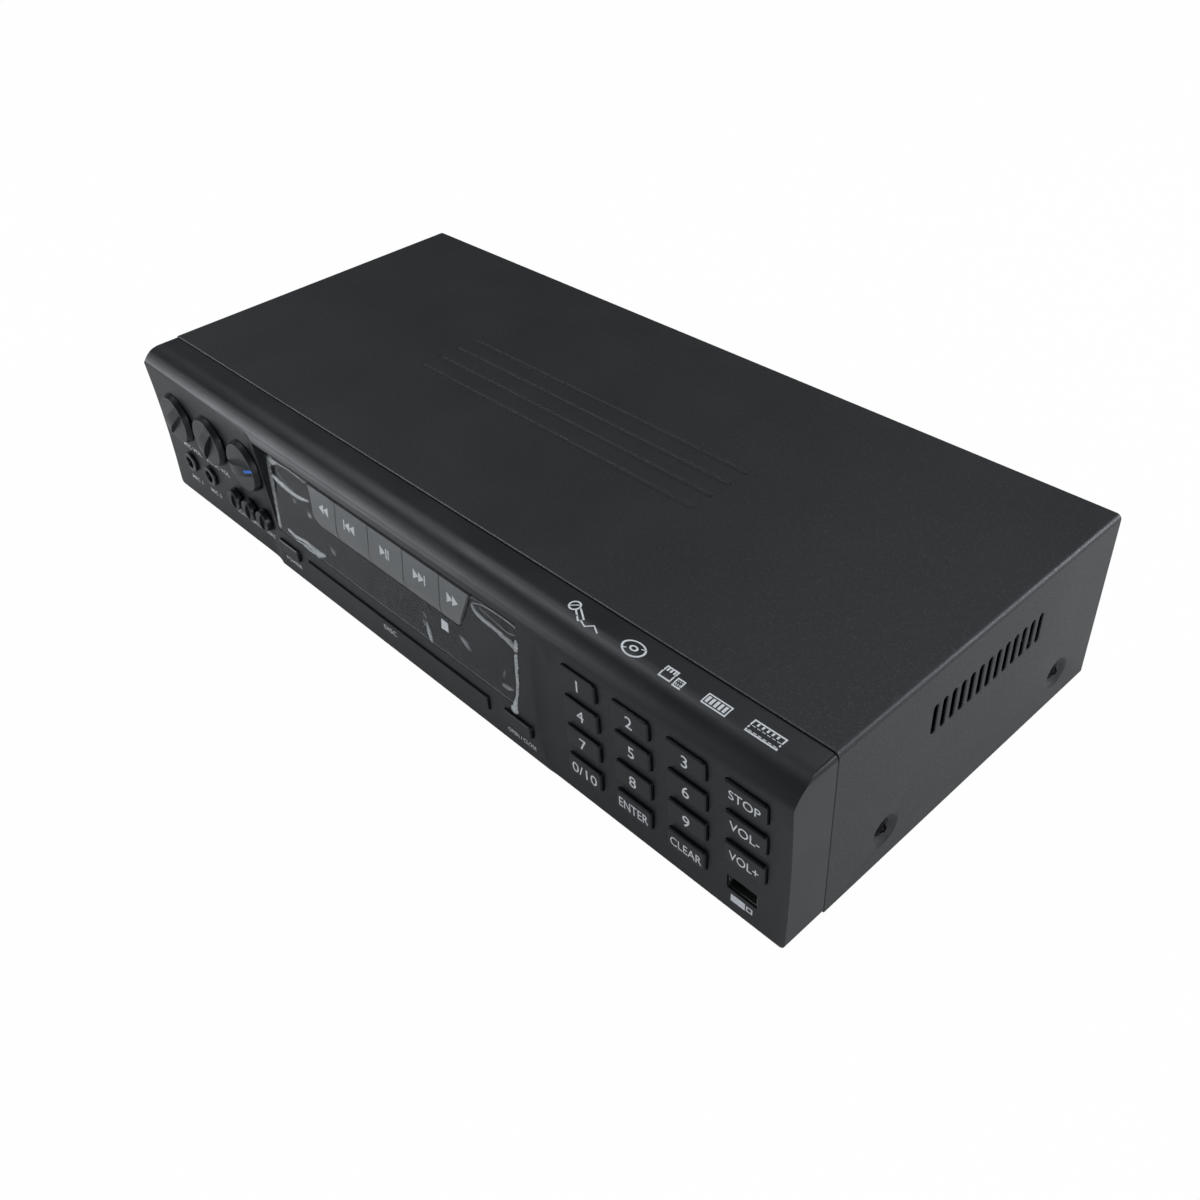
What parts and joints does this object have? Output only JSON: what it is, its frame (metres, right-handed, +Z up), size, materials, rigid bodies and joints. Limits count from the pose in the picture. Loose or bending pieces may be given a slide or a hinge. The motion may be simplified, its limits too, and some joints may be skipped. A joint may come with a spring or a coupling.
{
  "type": "karaoke player",
  "caption": "Full-width karaoke player with a disc tray, a number keypad, transport keys, volume knobs and microphone jacks.",
  "frame": {"origin": "middle of the whole machine's width and depth, at the underside of its feet", "axes": "+X to the right as seen from the front, +Y from the front to the back, +Z up"},
  "size_m": [0.43, 0.2076, 0.083],
  "materials": {
    "panel_plastic": "fine textured black plastic",
    "key_plastic": "satin black plastic",
    "bar_plastic": "satin grey plastic",
    "knob_plastic": "satin black plastic",
    "cover_paint": "black powder coat",
    "rear_paint": "black powder coat",
    "zinc_steel": "zinc plated",
    "black_screw": "blackened",
    "foot_rubber": "matt",
    "smoked_window": "clear smoked plastic",
    "clear_film": "clear glossy film",
    "nickel": "nickel plated",
    "green_board": "solder resist",
    "brown_board": "paper laminate",
    "display_glass": "dark display glass",
    "core_steel": "varnished laminations",
    "black_plastic": "moulded",
    "tray_plastic": "moulded",
    "gear_plastic": "natural acetal",
    "brass": "turned"
  },
  "bodies": {
    "housing": {"front_panel": "panel_plastic", "top_cover": "cover_paint", "chassis": "zinc_steel", "rear_panel": "rear_paint", "feet": "foot_rubber", "cover_screws": "black_screw", "display_window": "smoked_window", "window_film": "clear_film", "mic_jacks": "nickel", "usb_socket": "nickel", "front_board": "green_board", "potentiometers": "zinc_steel", "display_module": "display_glass", "main_board": "green_board", "amplifier_board": "brown_board", "transformer": "core_steel", "mains_inlet": "black_plastic", "phono_sockets": "nickel", "speaker_terminals": "black_plastic", "loader_frame": "black_plastic", "drive_belt": "foot_rubber", "loading_motor": "nickel", "clamp_bridge": "zinc_steel"},
    "key_1": {"key_1": "key_plastic"},
    "key_2": {"key_2": "key_plastic"},
    "key_3": {"key_3": "key_plastic"},
    "key_4": {"key_4": "key_plastic"},
    "key_5": {"key_5": "key_plastic"},
    "key_6": {"key_6": "key_plastic"},
    "key_7": {"key_7": "key_plastic"},
    "key_8": {"key_8": "key_plastic"},
    "key_9": {"key_9": "key_plastic"},
    "key_0": {"key_0": "key_plastic"},
    "enter_key": {"enter_key": "key_plastic"},
    "clear_key": {"clear_key": "key_plastic"},
    "stop_key": {"stop_key": "key_plastic"},
    "volume_down_key": {"volume_down_key": "key_plastic"},
    "volume_up_key": {"volume_up_key": "key_plastic"},
    "rewind_key": {"rewind_key": "bar_plastic"},
    "previous_key": {"previous_key": "bar_plastic"},
    "play_key": {"play_key": "bar_plastic"},
    "next_key": {"next_key": "bar_plastic"},
    "forward_key": {"forward_key": "bar_plastic"},
    "power_key": {"power_key": "key_plastic"},
    "open_close_key": {"open_close_key": "key_plastic"},
    "mic_volume_knob": {"mic_volume_knob": "knob_plastic"},
    "music_volume_knob": {"music_volume_knob": "knob_plastic"},
    "master_volume_knob": {"master_volume_knob": "knob_plastic"},
    "echo_knob": {"echo_knob": "knob_plastic"},
    "bass_knob": {"bass_knob": "knob_plastic"},
    "treble_knob": {"treble_knob": "knob_plastic"},
    "tray": {"disc_tray": "tray_plastic", "tray_door": "panel_plastic"},
    "drive_gear": {"drive_gear": "gear_plastic"},
    "pulley_gear": {"pulley_gear": "gear_plastic"},
    "motor_pulley": {"motor_pulley": "brass"},
    "traverse_frame": {"traverse_frame": "zinc_steel"},
    "turntable": {"turntable": "black_plastic"},
    "pickup_sled": {"pickup_sled": "black_plastic"},
    "clamp_puck": {"clamp_puck": "black_plastic"}
  },
  "joints": [
    {"name": "key_1_press", "type": "slide", "parent": "housing", "child": "key_1", "axis": [0, 1, 0], "range_m": [0, 0.0009], "stiffness_N_per_m": 300},
    {"name": "key_2_press", "type": "slide", "parent": "housing", "child": "key_2", "axis": [0, 1, 0], "range_m": [0, 0.0009], "stiffness_N_per_m": 300},
    {"name": "key_3_press", "type": "slide", "parent": "housing", "child": "key_3", "axis": [0, 1, 0], "range_m": [0, 0.0009], "stiffness_N_per_m": 300},
    {"name": "key_4_press", "type": "slide", "parent": "housing", "child": "key_4", "axis": [0, 1, 0], "range_m": [0, 0.0009], "stiffness_N_per_m": 300},
    {"name": "key_5_press", "type": "slide", "parent": "housing", "child": "key_5", "axis": [0, 1, 0], "range_m": [0, 0.0009], "stiffness_N_per_m": 300},
    {"name": "key_6_press", "type": "slide", "parent": "housing", "child": "key_6", "axis": [0, 1, 0], "range_m": [0, 0.0009], "stiffness_N_per_m": 300},
    {"name": "key_7_press", "type": "slide", "parent": "housing", "child": "key_7", "axis": [0, 1, 0], "range_m": [0, 0.0009], "stiffness_N_per_m": 300},
    {"name": "key_8_press", "type": "slide", "parent": "housing", "child": "key_8", "axis": [0, 1, 0], "range_m": [0, 0.0009], "stiffness_N_per_m": 300},
    {"name": "key_9_press", "type": "slide", "parent": "housing", "child": "key_9", "axis": [0, 1, 0], "range_m": [0, 0.0009], "stiffness_N_per_m": 300},
    {"name": "key_0_press", "type": "slide", "parent": "housing", "child": "key_0", "axis": [0, 1, 0], "range_m": [0, 0.0009], "stiffness_N_per_m": 300},
    {"name": "enter_key_press", "type": "slide", "parent": "housing", "child": "enter_key", "axis": [0, 1, 0], "range_m": [0, 0.0009], "stiffness_N_per_m": 300},
    {"name": "clear_key_press", "type": "slide", "parent": "housing", "child": "clear_key", "axis": [0, 1, 0], "range_m": [0, 0.0009], "stiffness_N_per_m": 300},
    {"name": "stop_key_press", "type": "slide", "parent": "housing", "child": "stop_key", "axis": [0, 1, 0], "range_m": [0, 0.0009], "stiffness_N_per_m": 300},
    {"name": "volume_down_key_press", "type": "slide", "parent": "housing", "child": "volume_down_key", "axis": [0, 1, 0], "range_m": [0, 0.0009], "stiffness_N_per_m": 300},
    {"name": "volume_up_key_press", "type": "slide", "parent": "housing", "child": "volume_up_key", "axis": [0, 1, 0], "range_m": [0, 0.0009], "stiffness_N_per_m": 300},
    {"name": "rewind_key_press", "type": "slide", "parent": "housing", "child": "rewind_key", "axis": [0, 1, 0], "range_m": [0, 0.0009], "stiffness_N_per_m": 300},
    {"name": "previous_key_press", "type": "slide", "parent": "housing", "child": "previous_key", "axis": [0, 1, 0], "range_m": [0, 0.0009], "stiffness_N_per_m": 300},
    {"name": "play_key_press", "type": "slide", "parent": "housing", "child": "play_key", "axis": [0, 1, 0], "range_m": [0, 0.0009], "stiffness_N_per_m": 300},
    {"name": "next_key_press", "type": "slide", "parent": "housing", "child": "next_key", "axis": [0, 1, 0], "range_m": [0, 0.0009], "stiffness_N_per_m": 300},
    {"name": "forward_key_press", "type": "slide", "parent": "housing", "child": "forward_key", "axis": [0, 1, 0], "range_m": [0, 0.0009], "stiffness_N_per_m": 300},
    {"name": "power_key_press", "type": "slide", "parent": "housing", "child": "power_key", "axis": [0, 1, 0], "range_m": [0, 0.0009], "stiffness_N_per_m": 300},
    {"name": "open_close_key_press", "type": "slide", "parent": "housing", "child": "open_close_key", "axis": [0, 1, 0], "range_m": [0, 0.0009], "stiffness_N_per_m": 300},
    {"name": "mic_volume_turn", "type": "hinge", "parent": "housing", "child": "mic_volume_knob", "pos_m": [-0.1921, -0.1, 0.0514], "axis": [0, 1, 0], "range_deg": [-15, 285]},
    {"name": "music_volume_turn", "type": "hinge", "parent": "housing", "child": "music_volume_knob", "pos_m": [-0.1585, -0.1, 0.0514], "axis": [0, 1, 0], "range_deg": [-4, 296]},
    {"name": "master_volume_turn", "type": "hinge", "parent": "housing", "child": "master_volume_knob", "pos_m": [-0.1249, -0.1, 0.0514], "axis": [0, 1, 0], "range_deg": [-227, 73]},
    {"name": "echo_turn", "type": "hinge", "parent": "housing", "child": "echo_knob", "pos_m": [-0.1454, -0.1, 0.0229], "axis": [0, 1, 0], "range_deg": [-150, 150]},
    {"name": "bass_turn", "type": "hinge", "parent": "housing", "child": "bass_knob", "pos_m": [-0.1316, -0.1, 0.0229], "axis": [0, 1, 0], "range_deg": [-150, 150]},
    {"name": "treble_turn", "type": "hinge", "parent": "housing", "child": "treble_knob", "pos_m": [-0.1178, -0.1, 0.0229], "axis": [0, 1, 0], "range_deg": [-150, 150]},
    {"name": "tray_slide", "type": "slide", "parent": "housing", "child": "tray", "axis": [0, -1, 0], "range_m": [0, 0.132]},
    {"name": "drive_gear_turn", "type": "hinge", "parent": "housing", "child": "drive_gear", "pos_m": [0.0268, -0.073, 0.01], "axis": [0, 0, 1], "range_deg": [-508, 5]},
    {"name": "pulley_gear_turn", "type": "hinge", "parent": "housing", "child": "pulley_gear", "pos_m": [0.0028, -0.073, 0.01], "axis": [0, 0, 1], "range_deg": [-5, 844]},
    {"name": "motor_pulley_turn", "type": "hinge", "parent": "housing", "child": "motor_pulley", "pos_m": [0.0718, -0.073, 0.01], "axis": [0, 0, 1], "range_deg": [-5, 3125]},
    {"name": "traverse_lift", "type": "hinge", "parent": "housing", "child": "traverse_frame", "pos_m": [-0.0102, 0.048, 0.01], "axis": [-1, 0, 0], "range_deg": [0, 3.4]},
    {"name": "turntable_spin", "type": "hinge", "parent": "traverse_frame", "child": "turntable", "pos_m": [-0.0102, -0.02931, 0.01302], "axis": [0, -0.0593, 0.9982], "continuous": true},
    {"name": "pickup_travel", "type": "slide", "parent": "traverse_frame", "child": "pickup_sled", "axis": [0, 0.9982, 0.0593], "range_m": [0, 0.035]},
    {"name": "puck_lift", "type": "slide", "parent": "housing", "child": "clamp_puck", "axis": [0, 0, 1], "range_m": [0, 0.0015]}
  ],
  "couplings": [
    {"joint": "drive_gear_turn", "follows": "tray_slide", "rad_per_m": -66.667},
    {"joint": "pulley_gear_turn", "follows": "tray_slide", "rad_per_m": 111.11},
    {"joint": "motor_pulley_turn", "follows": "tray_slide", "rad_per_m": 412.7}
  ]
}
